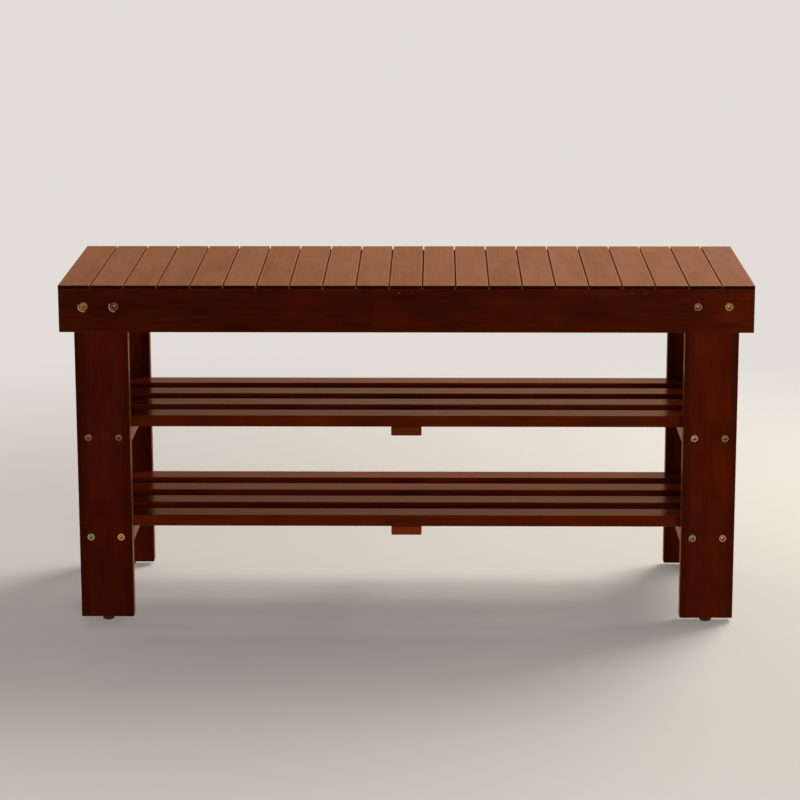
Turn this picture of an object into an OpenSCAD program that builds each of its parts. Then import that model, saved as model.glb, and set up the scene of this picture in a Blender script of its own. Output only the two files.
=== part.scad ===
// Shoe storage bench: a slatted seat on two aprons and four flat legs, with two slatted
// shelves on side rails. The boards are bolted together through the legs into barrel nuts.
// Origin: on the floor under the middle of the seat. +X runs along the bench, +Y to its
// rear and +Z up.

/* [Overall] */
// Length of the bench from end to end
bench_length = 900; // [760:10:1200]
// Depth of the bench from the front apron's face to the rear apron's face
bench_depth = 290; // [260:5:400]
// Height of the seat above the floor
bench_height = 457; // [420:1:520]

/* [Seat] */
// Number of slats laid side by side along the seat
seat_slat_count = 21; // [15:1:23]
// Gap between neighbouring seat slats
seat_slat_gap = 1.8; // [1:0.1:4]
// Thickness of a seat slat
seat_slat_t = 18; // [14:0.5:24]
// Thickness of the lip at each end of a seat slat, which laps over an apron
seat_lip_t = 4.5; // [3:0.5:6]
// Height of the front and rear aprons
apron_h = 57.5; // [46:0.5:80]
// Thickness of the front and rear aprons
apron_t = 13; // [11:0.5:20]

/* [Legs] */
// Width of a leg, and of the side rails between the legs
leg_w = 70; // [60:1:90]
// Thickness of a leg
leg_t = 17; // [14:0.5:24]
// How far the aprons run past the legs at each end
leg_inset = 17.5; // [0:0.5:40]
// Diameter of the round glide under a leg
glide_d = 16; // [12:0.5:17]
// Height of the glide under a leg
glide_h = 5; // [4:0.5:8]

/* [Shelves] */
// Height of the upper shelf's top above the floor
upper_shelf_top = 276; // [220:1:320]
// Height of the lower shelf's top above the floor
lower_shelf_top = 140; // [90:1:180]
// Number of slats in each shelf
shelf_slat_count = 4; // [3:1:5]
// Width of a shelf slat
shelf_slat_w = 34; // [24:0.5:40]
// Thickness of a shelf slat
shelf_slat_t = 15; // [12:0.5:20]
// Distance from a leg's inner face to the nearest shelf slat
shelf_setback = 3; // [0:0.5:10]
// Thickness of the side rails under the seat and under the shelves
rail_t = 20; // [17:0.5:28]
// Width of the cleat under the middle of a shelf
cleat_w = 40; // [24:1:60]
// Thickness of the cleat under the middle of a shelf
cleat_t = 12; // [9:0.5:18]

/* [Edges] */
// Radius of the eased long edges of legs, aprons and rails
board_edge_r = 2; // [0.5:0.1:3]
// Radius of the eased long edges of the slats
slat_edge_r = 1.2; // [0.4:0.1:2]

/* [Bolts] */
// Diameter of the bolts
bolt_d = 6; // [5:0.5:7]
// Distance between the two bolts of a joint
bolt_spacing = 40; // [24:1:44]
// Diameter of the bolt heads in the aprons
apron_head_d = 11.5; // [9:0.5:13]
// Diameter of the bolt heads in the legs
leg_head_d = 10; // [9:0.5:13]
// Height of a bolt head
bolt_head_h = 5; // [4:0.5:6]
// Width across the flats of the hexagonal socket in a bolt head
socket_af = 5; // [3:0.5:6]
// Depth of the hexagonal socket in a bolt head
socket_depth = 3; // [2:0.5:3.5]
// How far a bolt head lies below the face of an apron
apron_head_sink = 1.5; // [0:0.1:3]
// How far a bolt head lies below the face of a leg
leg_head_sink = 0.4; // [0:0.1:3]
// How far the bolts reach into the end of a rail
bolt_reach = 42; // [40:1:60]
// Distance of the barrel nuts from the end of a rail
barrel_from_end = 34; // [24:1:36]
// Diameter of a barrel nut
barrel_d = 10; // [9:0.5:12]
// Length of a barrel nut
barrel_l = 14; // [12:0.5:15]

/* [Nails and screws] */
// Diameter of the brads that hold the seat slats to the aprons
brad_d = 1.5; // [1.2:0.1:2]
// Length of those brads
brad_l = 30; // [24:1:40]
// Distance between the two brads in the end of a seat slat
brad_spacing = 17; // [10:1:24]
// Depth of the brads below the top of the seat
brad_drop = 9.5; // [8:0.5:11]
// Diameter of the screws that hold the shelf slats
screw_d = 3.5; // [3:0.5:4.5]
// How far those screws bite into a shelf slat
screw_bite = 9; // [6:0.5:10]
// Diameter of the nail that holds a glide
glide_nail_d = 1.8; // [1.2:0.1:2.4]
// Length of that nail in the leg
glide_nail_bite = 14; // [8:1:24]

/* [Hidden] */
$fn = 48;

// Clearances round the fasteners, measured on the diameter
bolt_play = 0.6;
thread_play = 0.1;
head_play = 2.5;
apron_head_play = 1.0;
barrel_play = 0.2;
nail_play = 0.1;
// Spare depth at the bottom of a blind hole
tip_play = 0.5;
// Extra length of a cutter beyond the face that it cuts
over = 1;

// Heads of the small fasteners, and how far they lie below the faces round them
brad_head_d = 2.3;
brad_head_h = 0.8;
brad_sink = 0.8;
screw_head_d = 7;
screw_head_h = 2;
glide_nail_head_d = 4.8;
glide_nail_head_h = 1;
glide_nail_sink = 0.6;
// Height of the chamfer round the foot of a glide
glide_chamfer = 1.5;

// Heights
seat_under_z = bench_height - seat_slat_t;
apron_top_z = bench_height - seat_lip_t;
apron_mid_z = apron_top_z - apron_h/2;
seat_rail_mid_z = seat_under_z - rail_t/2;
brad_z = bench_height - brad_drop;
leg_h = seat_under_z - glide_h;

// Distances from the middle plane of the bench towards the front and the rear
apron_face_y = bench_depth/2;
leg_face_y = apron_face_y - apron_t;
rail_end_y = leg_face_y - leg_t;
barrel_y = rail_end_y - barrel_from_end;
bolt_tip_y = rail_end_y - bolt_reach;
shelf_half_y = rail_end_y - shelf_setback;

// Distances along the bench
leg_mid_x = bench_length/2 - leg_inset - leg_w/2;
shelf_l = 2*leg_mid_x + leg_w;
seat_pitch = (bench_length + seat_slat_gap)/seat_slat_count;
seat_slat_w = seat_pitch - seat_slat_gap;
shelf_pitch = (2*shelf_half_y - shelf_slat_w)/(shelf_slat_count - 1);

// Colours
wood_dark = [0.25, 0.07, 0.03];
wood_red = [0.32, 0.09, 0.04];
wood_seat = [0.45, 0.2, 0.12];
zinc_gold = [0.72, 0.52, 0.26];
steel_grey = [0.6, 0.6, 0.62];
glide_brown = [0.13, 0.06, 0.04];

// Names of the numbered pieces
function two_digits(i) = str(i < 10 ? "0" : "", i);
function seat_slat_name(i) = str("seat_slat_", two_digits(i));
function shelf_slat_name(level, i) = str(level, "_shelf_slat_", i);

// Places of the numbered pieces, counted from the left and from the front
function seat_slat_x(i) = (i - (seat_slat_count + 1)/2)*seat_pitch;
function shelf_slat_y(i) = (i - (shelf_slat_count + 1)/2)*shelf_pitch;

// A rectangle about the origin with its four corners rounded
module eased_rect(w, h, r) {
    square([w - 2*r, h], center = true);
    square([w, h - 2*r], center = true);
    for (x = [-1, 1], y = [-1, 1])
        translate([x*(w/2 - r), y*(h/2 - r)]) circle(r = r);
}

// A board about the origin that runs along X, with its long edges eased
module board_along_x(l, depth, t, r)
    rotate([90, 0, 90]) linear_extrude(l, center = true) eased_rect(depth, t, r);

// A board about the origin that runs along Y, with its long edges eased
module board_along_y(w, l, t, r)
    rotate([90, 0, 0]) linear_extrude(l, center = true) eased_rect(w, t, r);

// The rear of the bench is the mirror image of its front
module at_rear() mirror([0, 1, 0]) children();
module front_and_rear() {
    children();
    at_rear() children();
}

// The two bolt positions of a joint, on the middle line of a leg
module at_bolt_pair()
    for (x = [-1, 1]) translate([x*bolt_spacing/2, 0, 0]) children();

// A rod along +Y from y0 to y1
module rod_y(d, y0, y1)
    translate([0, y0, 0]) rotate([-90, 0, 0]) cylinder(d = d, h = y1 - y0);

// The hole of a bolt at the front: a counterbore from a face, then the shank's hole
module bolt_hole(face_y, sink, head_d, play, end_y) {
    rod_y(head_d + play, -face_y - over, -face_y + sink + bolt_head_h);
    rod_y(bolt_d + bolt_play, -face_y, -end_y);
}

// A bolt at the front with a hexagonal socket, its head sunk below a face
module bolt(face_y, sink, head_d) {
    head_y = -face_y + sink;
    difference() {
        union() {
            rod_y(head_d, head_y, head_y + bolt_head_h);
            rod_y(bolt_d, head_y, -bolt_tip_y);
        }
        translate([0, head_y - over, 0]) rotate([-90, 0, 0])
            cylinder(d = socket_af/cos(30), h = over + socket_depth, $fn = 6);
    }
}

// The four bolt pairs of one level, at the front and at the rear of both sides
module bolt_set(z, face_y, sink, head_d)
    for (x = [-1, 1]) translate([x*leg_mid_x, 0, z])
        front_and_rear() at_bolt_pair() bolt(face_y, sink, head_d);

// The barrel nuts that those bolts screw into, upright in the side rails
module barrel_set(z)
    for (x = [-1, 1]) translate([x*leg_mid_x, 0, z])
        front_and_rear() at_bolt_pair() difference() {
            translate([0, -barrel_y, 0]) cylinder(d = barrel_d, h = barrel_l, center = true);
            rod_y(bolt_d + thread_play, -barrel_y - barrel_d, -barrel_y + barrel_d);
        }

// A screw from below with a countersunk head, its head flush at z = 0
module screw(l) {
    cylinder(d1 = screw_head_d, d2 = screw_d, h = screw_head_h);
    cylinder(d = screw_d, h = l);
}

// The hole of such a screw through a board of thickness t and into the slat above
module screw_hole(t) {
    cylinder(d1 = screw_head_d + nail_play, d2 = screw_d + nail_play, h = screw_head_h);
    translate([0, 0, -over]) cylinder(d = screw_head_d + nail_play, h = over);
    cylinder(d = screw_d + nail_play, h = t + screw_bite + tip_play);
}

// The screws of one shelf, or their holes: one through each rail and one through the
// cleat into every slat
module at_shelf_screws(top_z) {
    under_z = top_z - shelf_slat_t;
    for (i = [1 : shelf_slat_count], k = [-1, 0, 1]) {
        $holder_t = k == 0 ? cleat_t : rail_t;
        translate([k*leg_mid_x, shelf_slat_y(i), under_z - $holder_t]) children();
    }
}
module shelf_screws(top_z)
    color(steel_grey) at_shelf_screws(top_z) screw($holder_t + screw_bite);
module shelf_screw_holes(top_z)
    at_shelf_screws(top_z) screw_hole($holder_t);

// The places of the two brads in the front end of a seat slat, along +Z into the slat
module at_slat_brads(i)
    for (k = [-1, 1])
        translate([seat_slat_x(i) + k*brad_spacing/2, -apron_face_y, brad_z])
            rotate([-90, 0, 0]) children();
module brad_hole() {
    translate([0, 0, -over])
        cylinder(d = brad_head_d + nail_play, h = over + brad_sink + brad_head_h);
    cylinder(d = brad_d + nail_play, h = brad_sink + brad_l + tip_play);
}
module front_brads()
    color(steel_grey) for (i = [1 : seat_slat_count]) at_slat_brads(i)
        translate([0, 0, brad_sink]) {
            cylinder(d = brad_head_d, h = brad_head_h);
            cylinder(d = brad_d, h = brad_l);
        }

// A seat slat: full thickness between the aprons, with a lip over each of them
module seat_slat(i)
    color(wood_seat) difference() {
        translate([seat_slat_x(i), 0, bench_height - seat_slat_t/2])
            board_along_y(seat_slat_w, bench_depth, seat_slat_t, slat_edge_r);
        for (side = [-1, 1])
            translate([seat_slat_x(i), side*(leg_face_y + apron_t), apron_top_z - seat_slat_t])
                cube([seat_pitch, 2*apron_t, 2*seat_slat_t], center = true);
        front_and_rear() at_slat_brads(i) brad_hole();
    }

// The apron at the front, with its brad and bolt holes
module front_apron()
    color(wood_dark) difference() {
        translate([0, -(apron_face_y + leg_face_y)/2, apron_mid_z])
            board_along_x(bench_length, apron_t, apron_h, board_edge_r);
        for (i = [1 : seat_slat_count]) at_slat_brads(i) brad_hole();
        for (x = [-1, 1]) translate([x*leg_mid_x, 0, seat_rail_mid_z]) at_bolt_pair()
            bolt_hole(apron_face_y, apron_head_sink, apron_head_d, apron_head_play,
                      leg_face_y - over);
    }

// A side rail whose middle line is at height z, bored for its bolts and barrel nuts
module side_rail(x, z)
    translate([x*leg_mid_x, 0, z]) difference() {
        board_along_y(leg_w, 2*rail_end_y, rail_t, board_edge_r);
        front_and_rear() at_bolt_pair() {
            rod_y(bolt_d + bolt_play, -rail_end_y - over, -bolt_tip_y + tip_play);
            translate([0, -barrel_y, -rail_t/2 - over])
                cylinder(d = barrel_d + barrel_play, h = over + (rail_t + barrel_l)/2);
        }
    }
module seat_rail(x) color(wood_dark) side_rail(x, seat_rail_mid_z);

// A shelf's side rail, slats and middle cleat, for a shelf whose top is at height top_z
module shelf_rail(x, top_z)
    color(wood_red) difference() {
        side_rail(x, top_z - shelf_slat_t - rail_t/2);
        shelf_screw_holes(top_z);
    }
module shelf_slat(i, top_z)
    color(wood_red) difference() {
        translate([0, shelf_slat_y(i), top_z - shelf_slat_t/2])
            board_along_x(shelf_l, shelf_slat_w, shelf_slat_t, slat_edge_r);
        shelf_screw_holes(top_z);
    }
module shelf_cleat(top_z)
    color(wood_red) difference() {
        translate([0, 0, top_z - shelf_slat_t - cleat_t/2])
            board_along_y(cleat_w, 2*shelf_half_y, cleat_t, slat_edge_r);
        shelf_screw_holes(top_z);
    }

// A leg at the front, its wide face forward
module front_leg(x)
    color(wood_dark) translate([x*leg_mid_x, 0, 0]) difference() {
        translate([0, -(leg_face_y + rail_end_y)/2, glide_h])
            linear_extrude(leg_h) eased_rect(leg_w, leg_t, board_edge_r);
        at_bolt_pair() {
            translate([0, 0, seat_rail_mid_z])
                rod_y(bolt_d + bolt_play, -leg_face_y - over, -rail_end_y + over);
            for (top_z = [upper_shelf_top, lower_shelf_top])
                translate([0, 0, top_z - shelf_slat_t - rail_t/2])
                    bolt_hole(leg_face_y, leg_head_sink, leg_head_d, head_play,
                              rail_end_y - over);
        }
        at_glide() cylinder(d = glide_nail_d + nail_play,
                            h = glide_h + glide_nail_bite + tip_play);
    }

// The middle of a front leg's foot, on the floor
module at_glide()
    translate([0, -(leg_face_y + rail_end_y)/2, 0]) children();

// A round glide with a chamfered lower edge and a hole for its nail
module front_glide(x)
    color(glide_brown) translate([x*leg_mid_x, 0, 0]) at_glide() difference() {
        union() {
            cylinder(d1 = glide_d - 2*glide_chamfer, d2 = glide_d, h = glide_chamfer);
            translate([0, 0, glide_chamfer]) cylinder(d = glide_d, h = glide_h - glide_chamfer);
        }
        translate([0, 0, -over]) cylinder(d = glide_nail_d + nail_play, h = glide_h + 2*over);
        translate([0, 0, -over]) cylinder(d = glide_nail_head_d + nail_play,
                                          h = over + glide_nail_sink + glide_nail_head_h);
    }
module glide_nails()
    color(steel_grey) for (x = [-1, 1]) translate([x*leg_mid_x, 0, glide_nail_sink])
        front_and_rear() at_glide() {
            cylinder(d = glide_nail_head_d, h = glide_nail_head_h);
            cylinder(d = glide_nail_d, h = glide_h - glide_nail_sink + glide_nail_bite);
        }

// The bolts and barrel nuts of the seat and of a shelf
module seat_bolts()
    color(zinc_gold) bolt_set(seat_rail_mid_z, apron_face_y, apron_head_sink, apron_head_d);
module shelf_bolts(top_z)
    color(zinc_gold) bolt_set(top_z - shelf_slat_t - rail_t/2, leg_face_y, leg_head_sink,
                              leg_head_d);
module seat_barrel_nuts() color(steel_grey) barrel_set(seat_rail_mid_z);
module shelf_barrel_nuts(top_z)
    color(steel_grey) barrel_set(top_z - shelf_slat_t - rail_t/2);

for (i = [1 : seat_slat_count])
    seat_slat(i);
front_apron();
at_rear() front_apron();  // rear_apron
seat_rail(-1);  // seat_rail_left
seat_rail(1);  // seat_rail_right

front_leg(-1);  // leg_front_left
front_leg(1);  // leg_front_right
at_rear() front_leg(-1);  // leg_rear_left
at_rear() front_leg(1);  // leg_rear_right

for (i = [1 : shelf_slat_count])
    shelf_slat(i, upper_shelf_top);
shelf_rail(-1, upper_shelf_top);  // upper_rail_left
shelf_rail(1, upper_shelf_top);  // upper_rail_right
shelf_cleat(upper_shelf_top);  // upper_cleat

for (i = [1 : shelf_slat_count])
    shelf_slat(i, lower_shelf_top);
shelf_rail(-1, lower_shelf_top);  // lower_rail_left
shelf_rail(1, lower_shelf_top);  // lower_rail_right
shelf_cleat(lower_shelf_top);  // lower_cleat

seat_bolts();
shelf_bolts(upper_shelf_top);  // upper_shelf_bolts
shelf_bolts(lower_shelf_top);  // lower_shelf_bolts
seat_barrel_nuts();
shelf_barrel_nuts(upper_shelf_top);  // upper_barrel_nuts
shelf_barrel_nuts(lower_shelf_top);  // lower_barrel_nuts
front_brads();
at_rear() front_brads();  // rear_brads
shelf_screws(upper_shelf_top);  // upper_shelf_screws
shelf_screws(lower_shelf_top);  // lower_shelf_screws

front_glide(-1);  // glide_front_left
front_glide(1);  // glide_front_right
at_rear() front_glide(-1);  // glide_rear_left
at_rear() front_glide(1);  // glide_rear_right
glide_nails();
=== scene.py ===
# Looks of the shoe storage bench: eased and lacquered boards, plated bolts, filled brad holes
# and plastic glides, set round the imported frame. Lengths are in metres. +X runs along the
# bench, +Y to its rear and +Z up.
import math

import bpy
from mathutils import Matrix, Vector


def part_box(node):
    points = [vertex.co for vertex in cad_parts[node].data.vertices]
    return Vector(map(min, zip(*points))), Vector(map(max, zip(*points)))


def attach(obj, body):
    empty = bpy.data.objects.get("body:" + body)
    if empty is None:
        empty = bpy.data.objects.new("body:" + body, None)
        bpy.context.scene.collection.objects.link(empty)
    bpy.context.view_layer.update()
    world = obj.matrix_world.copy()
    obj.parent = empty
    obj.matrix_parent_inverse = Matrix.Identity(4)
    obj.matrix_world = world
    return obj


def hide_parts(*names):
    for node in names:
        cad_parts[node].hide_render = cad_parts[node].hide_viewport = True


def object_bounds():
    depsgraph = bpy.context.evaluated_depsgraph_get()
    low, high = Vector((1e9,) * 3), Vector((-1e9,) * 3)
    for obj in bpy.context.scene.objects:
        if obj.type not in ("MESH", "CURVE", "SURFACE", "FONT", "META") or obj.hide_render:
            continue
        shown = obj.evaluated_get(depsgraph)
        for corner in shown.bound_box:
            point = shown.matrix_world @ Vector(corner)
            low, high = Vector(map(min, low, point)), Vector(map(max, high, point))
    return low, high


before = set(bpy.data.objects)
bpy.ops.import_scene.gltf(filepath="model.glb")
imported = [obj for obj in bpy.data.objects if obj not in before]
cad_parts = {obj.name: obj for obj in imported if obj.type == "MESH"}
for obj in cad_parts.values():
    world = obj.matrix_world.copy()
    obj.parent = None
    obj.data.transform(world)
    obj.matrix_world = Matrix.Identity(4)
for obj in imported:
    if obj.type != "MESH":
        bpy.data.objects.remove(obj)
cad_low, cad_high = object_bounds()
bpy.ops.object.select_all(action="DESELECT")

MM = 0.001
X, Y, Z = range(3)
LEVELS = ("upper", "lower")
SIDES = ("left", "right")
SLAT_NAMES = [f"seat_slat_{i:02d}" for i in range(1, 22)]
SHELF_SLATS = 4

# Eased edges of the boards and of the slats, and the steps that round them
BOARD_EASE = 1.5 * MM
SLAT_EASE = 1.2 * MM
SEAT_EASE = 0.35 * MM
EASE_STEPS = 4
SHARP = math.radians(40)

# Bolts: two to a joint, with a hexagonal socket in a head that lies in a round recess
BOLT_SPACING = 40 * MM
BOLT_D = 6 * MM
BOLT_REACH = 42 * MM
HEAD_H = 5 * MM
HEAD_EASE = 0.9 * MM
RECESS_D = 12.0 * MM
LEG_FLARE = 0.35 * MM
APRON_EASE = 1.0 * MM
APRON_HEAD_D = 11.5 * MM
APRON_HEAD_SINK = 1.5 * MM
LEG_HEAD_D = 10 * MM
LEG_HEAD_SINK = 0.4 * MM
SOCKET_AF = 5 * MM
SOCKET_DEPTH = 3 * MM
SOCKET_FLARE = 0.45 * MM
SOCKET_BOTTOM_R = 1.6 * MM
SOCKET_CONE_L = SOCKET_AF / 6
BOLT_TIP_L = BOLT_D / 6
# The size of a tapered end, against where the taper starts
BOLT_TIP = 0.7
SOCKET_CONE_TIP = 0.15
SCREW_TIP = 0.1
ROUND_SIDES = 48
SMALL_ROUND_SIDES = 16

# Mouths of the apron's recesses from left to right: their flare, and how far they sit off the bolt
APRON_MOUTHS = ((0.85 * MM, -0.55 * MM, -0.5 * MM), (0.8 * MM, -0.6 * MM, -0.4 * MM),
                (0.4 * MM, 0.0, 0.0), (0.4 * MM, 0.1 * MM, -0.05 * MM))
# Where the drill has torn a mouth down to bare wood, its slope looks this far out of the board
TORN_LEAST = 0.8
TORN_MOST = 0.98

# Wear, painted shade and painted glints of the front bolts from left to right: the tint of the
# plating from 0 for rosy to 1 for olive, how dull the head is, how dark the socket's walls are with
# grime and painted shade, and how bright the glint painted on the socket's bottom is
SEAT_WEAR_SHADE_GLINTS = ((0.55, 0.52, 0.35, 0.15), (0.12, 0.80, 0.85, 0.85),
             (0.18, 0.60, 0.80, 1.00), (0.62, 0.38, 0.75, 1.00))
UPPER_WEAR_SHADE_GLINTS = ((0.00, 0.48, 0.50, 0.45), (0.05, 0.66, 0.75, 0.60),
              (0.38, 0.20, 0.85, 1.00), (0.85, 0.48, 0.85, 0.80))
LOWER_WEAR_SHADE_GLINTS = ((0.95, 0.00, 0.20, 0.10), (0.42, 0.00, 0.10, 0.10),
              (0.90, 0.20, 0.80, 0.75), (0.10, 0.00, 0.80, 1.00))
# Wear, painted shade and painted glint of the rear bolts, and how their tints and the turns of all
# the bolts and screws step on
REAR_WEAR_SHADE_GLINT = (0.35, 0.85, 0.50)
TINT_STEP = 0.29
BOLT_TURN = 2.1
SCREW_TURN = 1.3
# How much darker the bottom of a socket is, with grime and painted shade
BOTTOM_GRIME_AND_SHADE = 0.2
# How far the drill point at the bottom of a right-hand socket, with the glint painted on it, sits
# to the left
POINT_DRIFT = 0.7 * MM

# Brads through the apron into the ends of the slats, under small filled holes
BRAD_SPACING = 17 * MM
BRAD_DROP = 9.5 * MM
BRAD_HOLE_D = 2.3 * MM
BRAD_HOLE_DEPTH = 0.5 * MM
PUTTY_D = 2.2 * MM
PUTTY_SINK = 0.08 * MM
# How pale the putty is in a few holes, by the slat's number and the side of its middle
PALE_PUTTY = {(11, -1): 1.0, (11, 1): 0.6, (18, -1): 0.8, (18, 1): 0.5, (20, 1): 0.3,
              (21, -1): 0.45, (21, 1): 0.3}

# Barrel nuts, upright in bores from below in the side rails
BARREL_D = 10 * MM
BARREL_L = 14 * MM
BARREL_FROM_END = 34 * MM
BARREL_PLAY = 0.2 * MM
BARREL_SLOT_W = 1.4 * MM
BARREL_SLOT_DEPTH = 1.2 * MM
BARREL_EASE = 0.5 * MM

# Countersunk screws from below, one through each rail and the cleat into every shelf slat
SCREW_D = 3.5 * MM
SCREW_HEAD_D = 7 * MM
SCREW_HEAD_H = 2 * MM
SCREW_BITE = 9 * MM
SCREW_POINT = 3 * MM
SCREW_PLAY = 0.1 * MM
CROSS_L = 3.8 * MM
CROSS_W = 0.9 * MM
CROSS_DEPTH = 1.3 * MM

# Glides under the legs
GLIDE_CHAMFER = 1.5 * MM
GLIDE_NAIL_HOLE_D = 4.9 * MM
GLIDE_NAIL_HOLE_DEPTH = 1.6 * MM
GLIDE_EASE = 0.5 * MM

# Extra length of a cutter beyond the face that it cuts, the length of an edge that is a sliver,
# and how squarely a face has to look along an axis to count as facing that way
OVER = 1 * MM
SLIVER = 0.003 * MM
FACING = 0.9

# Colours, linear
# The seat's colours are lighter than the frame's, though it has the same stain: painted light on
# the seat from above, which SEAT_BELOW takes off its underside again
SEAT_LIT_DARK = (0.056, 0.0245, 0.0140, 1)
SEAT_LIT_LIGHT = (0.161, 0.0735, 0.0432, 1)
SEAT_SIDE_SHADE = (0.105, 0.0250, 0.0095, 1)
SEAT_BELOW = (0.48, 0.150, 0.070, 1)
APRON_DARK = (0.014, 0.0011, 0.0003, 1)
APRON_LIGHT = (0.058, 0.0062, 0.0013, 1)
LEG_DARK = (0.030, 0.0024, 0.0005, 1)
LEG_LIGHT = (0.080, 0.0080, 0.0018, 1)
LEG_EDGE = (0.070, 0.0075, 0.0018, 1)
SHELF_DARK = (0.040, 0.0034, 0.0007, 1)
SHELF_LIGHT = (0.099, 0.0120, 0.0029, 1)
SEAT_END = (0.012, 0.0009, 0.0003, 1)
FRAME_END = (0.024, 0.0015, 0.0003, 1)
CLEAT_END = (0.128, 0.0205, 0.0042, 1)
# The seat's edges turn lighter still, partly with wear and partly as a painted highlight
SEAT_EDGE = (0.340, 0.1600, 0.0900, 1)
FRAME_EDGE = (0.110, 0.0130, 0.0030, 1)
PORE = (0.014, 0.0010, 0.0003, 1)
WARMER = (1.10, 0.97, 0.78, 1)
COOLER = (0.90, 1.01, 1.18, 1)
BARE_DARK = (0.440, 0.2000, 0.0850, 1)
BARE_LIGHT = (0.680, 0.3600, 0.1800, 1)
SATIN_GLOW = (1.0, 0.34, 0.13, 1)
SATIN_TINT = (1.0, 0.40, 0.14, 1)
PUTTY_PALE = (0.20, 0.072, 0.042, 1)
PUTTY_DULL = (0.08, 0.020, 0.010, 1)
ROSY_ZINC = (0.54, 0.22, 0.23, 1)
PEACH_ZINC = (0.80, 0.47, 0.28, 1)
GOLD_ZINC = (0.56, 0.41, 0.16, 1)
OLIVE_ZINC = (0.42, 0.47, 0.27, 1)
ZINC_GRIME_AND_SHADE = (0.06, 0.025, 0.010, 1)
ZINC_PAINTED_GLINT = (1.00, 0.74, 0.46, 1)
BRIGHT_STEEL = (0.56, 0.56, 0.58, 1)
GLIDE_BROWN = (0.030, 0.0080, 0.0040, 1)
GLIDE_SCUFF = (0.075, 0.032, 0.020, 1)
FLOOR_PALE = (0.66, 0.635, 0.60, 1)
BACKDROP_PALE = (0.76, 0.73, 0.68, 1)
MIRRORED = (0.80, 0.448, 0.277, 1)
MIRRORED_HIGH = (0.71, 0.32, 0.170, 1)
MIRRORED_FLOOR = (0.74, 0.42, 0.25, 1)
AMBIENT = (1.0, 0.95, 0.88, 1)

# The world's light, the share of it that comes from the front, the strength of what the wood
# mirrors on the left and on the right, and the directions between which each of them changes
AMBIENT_STRENGTH = 0.55
FRONT_SHARE = 0.22
MIRRORED_STRENGTHS = (0.6, 1.07)
FRONT_TO_REAR = (-0.3, 0.6)
LOW_TO_HIGH = (0.2, 0.29)
LEFT_TO_RIGHT = (-0.2, 0.05)

# How far the wood grows darker along the long edges of a leg, and the share of an apron's half
# length from which its far end grows lighter, as painted light falling on that end
RIM_WIDTH = 18 * MM
LIT_TIP_START = 0.6
# Lighter edges of a board, partly wear and partly a painted highlight where the eased edges catch
# light: how far in they start and end, their strength, and their patches, as two values of the
# clouds and the edges' shares there
WORN_LIT_EDGE = (0.6 * MM, 3.2 * MM)
EDGE_WEAR_AND_HIGHLIGHT = 0.6
WEAR_HIGHLIGHT_PATCHES = (0.35, 0.65, 0.15, 0.7)
# Between which of its normals a face comes to look like an end or a side, and no longer like the
# underside
END_LOOK = (0.72, 0.95)
SIDE_LOOK = (0.8, 0.97)
BELOW_LOOK = (-0.9, -0.6)

# Patterns in the wood: how much finer each is across the grain than along it, and its noise's
# scale, detail, roughness and distortion
FIGURE = (3.0, 11.0, 3.0, 0.55, 0.6)
CLOUD = (1.6, 42.0, 3.0, 0.6)
STREAKS = (22.0, 13.0, 5.0, 0.62, 0.25)
FIBRES = (30.0, 55.0, 3.0, 0.6)
PORES = (18.0, 170.0, 1.0, 0.5)
DRIFT = (2.0, 20.0, 3.0)
BANDS = (0.5, 8.0, 2.0)
# Over which of their values some of them go from nothing to all
FIGURE_SPAN = (0.3, 0.7)
STREAK_SPAN = (0.28, 0.72)
PORE_SPAN = (0.64, 0.72)
SOFT_SPAN = (0.32, 0.68)
# Their shares in the wood's tone and in its relief, which has a strength and a depth
FIGURE_SHARE = 0.38
STREAK_SHARE = 0.34
CLOUD_SHARE = 0.2
FIBRE_SHARE = 0.18
PORE_DARKNESS = 0.35
STREAK_RELIEF = 0.7
FIBRE_RELIEF = 0.4
PORE_RELIEF = 0.5
WOOD_RELIEF = (0.22, 0.25 * MM)
# How much duller the lacquer is at the least and the most in the clouds, then on the fibres, and
# on ends and sides
CLOUD_DULLNESS = (-0.04, 0.05)
FIBRE_DULLNESS = 0.05
END_DULLNESS = 0.2

# What makes a board's seed into other numbers of its own: for the joint of its two lengths, their
# difference in tone, the board's tone, its hue and its ends
JOINT_DRAW = 3.77
LENGTH_DRAW = 5.31
TONE_DRAW = 7.13
HUE_DRAW = 11.9
END_DRAW = 9.3
# The first board's seed, and the golden step to the next one's
FIRST_SEED = 0.137
SEED_STEP = 0.618034
# How the patterns move along X, Y and Z with the seed, and from the first length to the second
PATTERN_SHIFTS = ((31.7, 0.9), (17.3, 0.7), (23.9, 0.8))
# How far the joint strays from the middle, and the widths and the darkness of its glue line
JOINT_SPREAD = 1.5
GLUE_LINE = (0.1 * MM, 0.5 * MM)
GLUE_DARKNESS = 0.3
# The least tone of a board and of its ends, how much more it may be, how much its two lengths may
# differ, and the least and the most of its red, green and blue
TONE_LEAST = 0.88
TONE_SPREAD = 0.24
END_TONE_LEAST = 0.75
END_TONE_SPREAD = 0.8
LENGTH_TONE = 0.2
BOARD_HUES = ((0.98, 1.02), (0.90, 1.04), (0.78, 1.10))

# Plating: how far its tint drifts over a bolt, how fast the painted glint at a socket's bottom
# falls off, and its milkiness
TINT_DRIFT = 0.16
GLINT_FALLOFF = 1.6
MILKINESS = 0.25

# Where the floor fades into the backdrop's colour, and how far it does so near the bench
FADE_SPAN = (0.6, 1.7)
NEAR_FADE = 0.2


# Small helpers for objects

def only(obj):
    """Makes obj the one selected and active object."""
    bpy.ops.object.select_all(action="DESELECT")
    obj.select_set(True)
    bpy.context.view_layer.objects.active = obj


def settle(obj):
    """Puts the object's place, turn and size into its mesh, and hands it on."""
    only(obj)
    bpy.ops.object.transform_apply(location=True, rotation=True, scale=True)
    return obj


def move(obj, shift):
    """Moves obj for good."""
    obj.location = shift
    settle(obj)


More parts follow.
